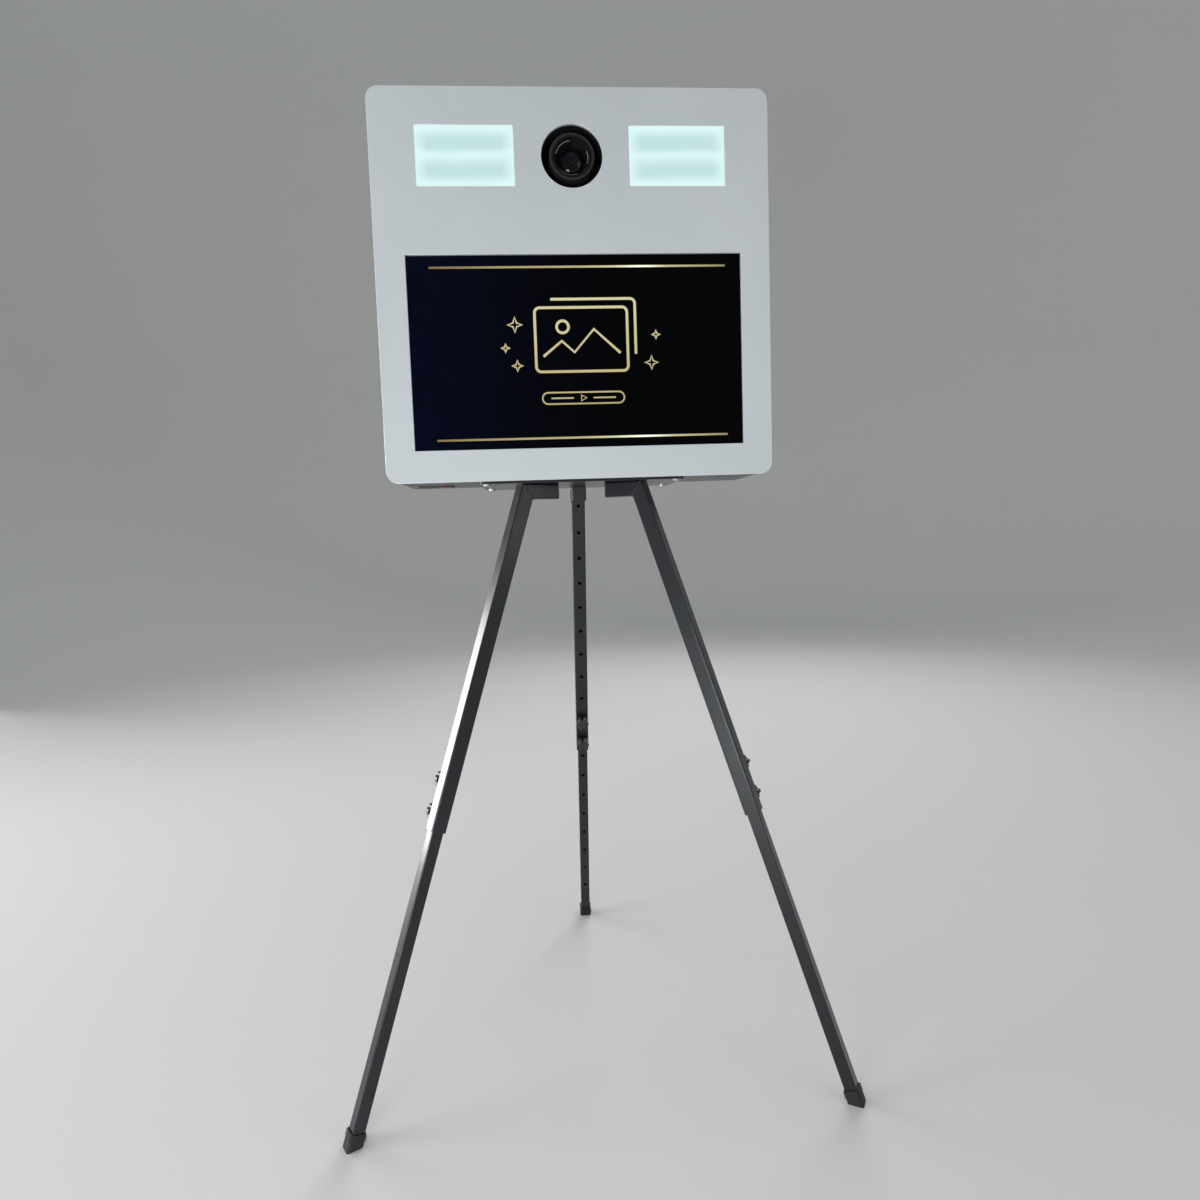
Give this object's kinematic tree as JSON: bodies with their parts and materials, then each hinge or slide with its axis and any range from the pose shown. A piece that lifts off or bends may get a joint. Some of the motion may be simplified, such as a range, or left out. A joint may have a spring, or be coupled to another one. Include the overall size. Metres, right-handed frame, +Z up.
{
  "type": "photo booth",
  "caption": "Open-air photo booth: flat white-fronted case with touch screen, lens port and lit windows on a three-legged telescopic stand.",
  "frame": {"origin": "middle of the whole outline on the floor", "axes": "+Z up, the screen and lens face -Y, +X to the right of a person who faces the screen"},
  "size_m": [0.8148, 0.7068, 1.6034],
  "materials": {
    "panel_gloss": "gloss acrylic",
    "case_paint": "fine satin powder coat",
    "leg_paint": "semi-gloss powder coat",
    "screen_glass": "polished",
    "display_black": "lit display",
    "opal_lit": "opal, lit from behind",
    "white_paint": "white reflector paint",
    "led_board": "lit boards",
    "plastic_black": "moulded",
    "plastic_red": "moulded",
    "lens_black": "anodised satin black",
    "lens_glass": "coated",
    "camera_black": "fine grained",
    "rubber_black": "moulded rubber",
    "circuit_board": "solder resist",
    "aluminium": "brushed",
    "zinc_steel": "zinc plated",
    "chrome": "polished"
  },
  "bodies": {
    "case_and_stand": {"front_panel": "panel_gloss", "panel_fixings": "zinc_steel", "case_shell": "case_paint", "screen_gasket": "rubber_black", "touch_glass": "screen_glass", "display_module": "display_black", "display_tray": "zinc_steel", "display_controller": "circuit_board", "diffusers": "opal_lit", "lamp_boxes": "white_paint", "led_strips": "led_board", "lens_tunnel": "plastic_black", "lens_barrel": "lens_black", "lens_glass": "lens_glass", "camera_body": "camera_black", "camera_screen": "screen_glass", "camera_shelf": "case_paint", "shelf_screws": "zinc_steel", "mini_computer": "plastic_black", "power_supply": "aluminium", "power_inlet": "plastic_black", "hinge_case_side": "zinc_steel", "mounting_plate": "leg_paint", "leg_bolts": "zinc_steel", "plate_fixings": "zinc_steel", "stub_plugs": "plastic_black", "nut_bars": "zinc_steel", "upper_leg_front_left": "leg_paint", "upper_leg_front_right": "leg_paint", "upper_leg_rear": "leg_paint"},
    "inner_leg_front_left": {"inner_leg_front_left": "leg_paint", "foot_cap_front_left": "rubber_black"},
    "grip_screw_upper_front_left": {"grip_screw_upper_front_left": "plastic_black"},
    "grip_screw_lower_front_left": {"grip_screw_lower_front_left": "plastic_black"},
    "inner_leg_front_right": {"inner_leg_front_right": "leg_paint", "foot_cap_front_right": "rubber_black"},
    "grip_screw_upper_front_right": {"grip_screw_upper_front_right": "plastic_black"},
    "grip_screw_lower_front_right": {"grip_screw_lower_front_right": "plastic_black"},
    "inner_leg_rear": {"inner_leg_rear": "leg_paint", "foot_cap_rear": "rubber_black"},
    "grip_screw_upper_rear": {"grip_screw_upper_rear": "plastic_black"},
    "grip_screw_lower_rear": {"grip_screw_lower_rear": "plastic_black"},
    "rear_door": {"rear_door": "case_paint", "door_stiffeners": "zinc_steel", "hinge_door_side": "zinc_steel", "lock_sleeve": "chrome", "door_pull": "chrome", "fan_frame": "plastic_black", "fan_guard": "chrome", "fan_screws": "zinc_steel"},
    "lock_plug": {"lock_plug": "chrome", "lock_cam": "zinc_steel"},
    "fan_rotor": {"fan_rotor": "plastic_black"},
    "focus_ring": {"focus_ring": "rubber_black"},
    "zoom_ring": {"zoom_ring": "rubber_black"},
    "mode_dial": {"mode_dial": "lens_black"},
    "shutter_button": {"shutter_button": "chrome"},
    "camera_screw": {"camera_screw": "plastic_black"},
    "computer_button": {"computer_button": "zinc_steel"},
    "rocker_switch": {"rocker_switch": "plastic_red"}
  },
  "joints": [
    {"name": "leg_slide_front_left", "type": "slide", "parent": "case_and_stand", "child": "inner_leg_front_left", "axis": [0.2848, 0.1644, 0.9444], "range_m": [0, 0.416]},
    {"name": "grip_turn_upper_front_left", "type": "hinge", "parent": "case_and_stand", "child": "grip_screw_upper_front_left", "pos_m": [-0.24384, -0.22893, 0.5242], "axis": [-0.5, 0.866, 0], "range_deg": [0, 360]},
    {"name": "grip_turn_lower_front_left", "type": "hinge", "parent": "case_and_stand", "child": "grip_screw_lower_front_left", "pos_m": [-0.25865, -0.23748, 0.47509], "axis": [-0.5, 0.866, 0], "range_deg": [0, 360]},
    {"name": "leg_slide_front_right", "type": "slide", "parent": "case_and_stand", "child": "inner_leg_front_right", "axis": [-0.2848, 0.1644, 0.9444], "range_m": [0, 0.416]},
    {"name": "grip_turn_upper_front_right", "type": "hinge", "parent": "case_and_stand", "child": "grip_screw_upper_front_right", "pos_m": [0.24384, -0.22893, 0.5242], "axis": [0.5, 0.866, 0], "range_deg": [0, 360]},
    {"name": "grip_turn_lower_front_right", "type": "hinge", "parent": "case_and_stand", "child": "grip_screw_lower_front_right", "pos_m": [0.25865, -0.23748, 0.47509], "axis": [0.5, 0.866, 0], "range_deg": [0, 360]},
    {"name": "leg_slide_rear", "type": "slide", "parent": "case_and_stand", "child": "inner_leg_rear", "axis": [0, -0.3289, 0.9444], "range_m": [0, 0.416]},
    {"name": "grip_turn_upper_rear", "type": "hinge", "parent": "case_and_stand", "child": "grip_screw_upper_rear", "pos_m": [0, 0.13856, 0.51746], "axis": [0, -0.9444, -0.3289], "range_deg": [0, 360]},
    {"name": "grip_turn_lower_rear", "type": "hinge", "parent": "case_and_stand", "child": "grip_screw_lower_rear", "pos_m": [0, 0.15566, 0.46835], "axis": [0, -0.9444, -0.3289], "range_deg": [0, 360]},
    {"name": "door_hinge", "type": "hinge", "parent": "case_and_stand", "child": "rear_door", "pos_m": [0.28025, -0.01282, 1.30139], "axis": [0, 0, -1], "range_deg": [0, 110]},
    {"name": "lock_turn", "type": "hinge", "parent": "rear_door", "child": "lock_plug", "pos_m": [-0.2515, -0.01662, 1.30139], "axis": [0, -1, 0], "range_deg": [0, 90]},
    {"name": "fan_spin", "type": "hinge", "parent": "rear_door", "child": "fan_rotor", "pos_m": [0.13, -0.03011, 1.26439], "axis": [0, 1, 0], "continuous": true},
    {"name": "focus_turn", "type": "hinge", "parent": "case_and_stand", "child": "focus_ring", "pos_m": [0, -0.18682, 1.50039], "axis": [0, 1, 0], "range_deg": [0, 120]},
    {"name": "zoom_turn", "type": "hinge", "parent": "case_and_stand", "child": "zoom_ring", "pos_m": [0, -0.15082, 1.50039], "axis": [0, 1, 0], "range_deg": [0, 70]},
    {"name": "mode_turn", "type": "hinge", "parent": "case_and_stand", "child": "mode_dial", "pos_m": [-0.052, -0.09082, 1.54238], "axis": [0, 0, 1], "range_deg": [-150, 150]},
    {"name": "shutter_press", "type": "slide", "parent": "case_and_stand", "child": "shutter_button", "axis": [0, 0, -1], "range_m": [0, 0.0015], "stiffness_N_per_m": 400, "springref_m": -0.0005},
    {"name": "camera_screw_turn", "type": "hinge", "parent": "case_and_stand", "child": "camera_screw", "pos_m": [0, -0.09082, 1.45839], "axis": [0, 0, 1], "range_deg": [0, 360]},
    {"name": "computer_button_press", "type": "slide", "parent": "case_and_stand", "child": "computer_button", "axis": [0, -1, 0], "range_m": [0, 0.001], "stiffness_N_per_m": 400, "springref_m": -0.0005},
    {"name": "rocker_tilt", "type": "hinge", "parent": "case_and_stand", "child": "rocker_switch", "pos_m": [-0.2377, -0.07681, 1.00338], "axis": [0, -1, 0], "range_deg": [0, 16]}
  ]
}
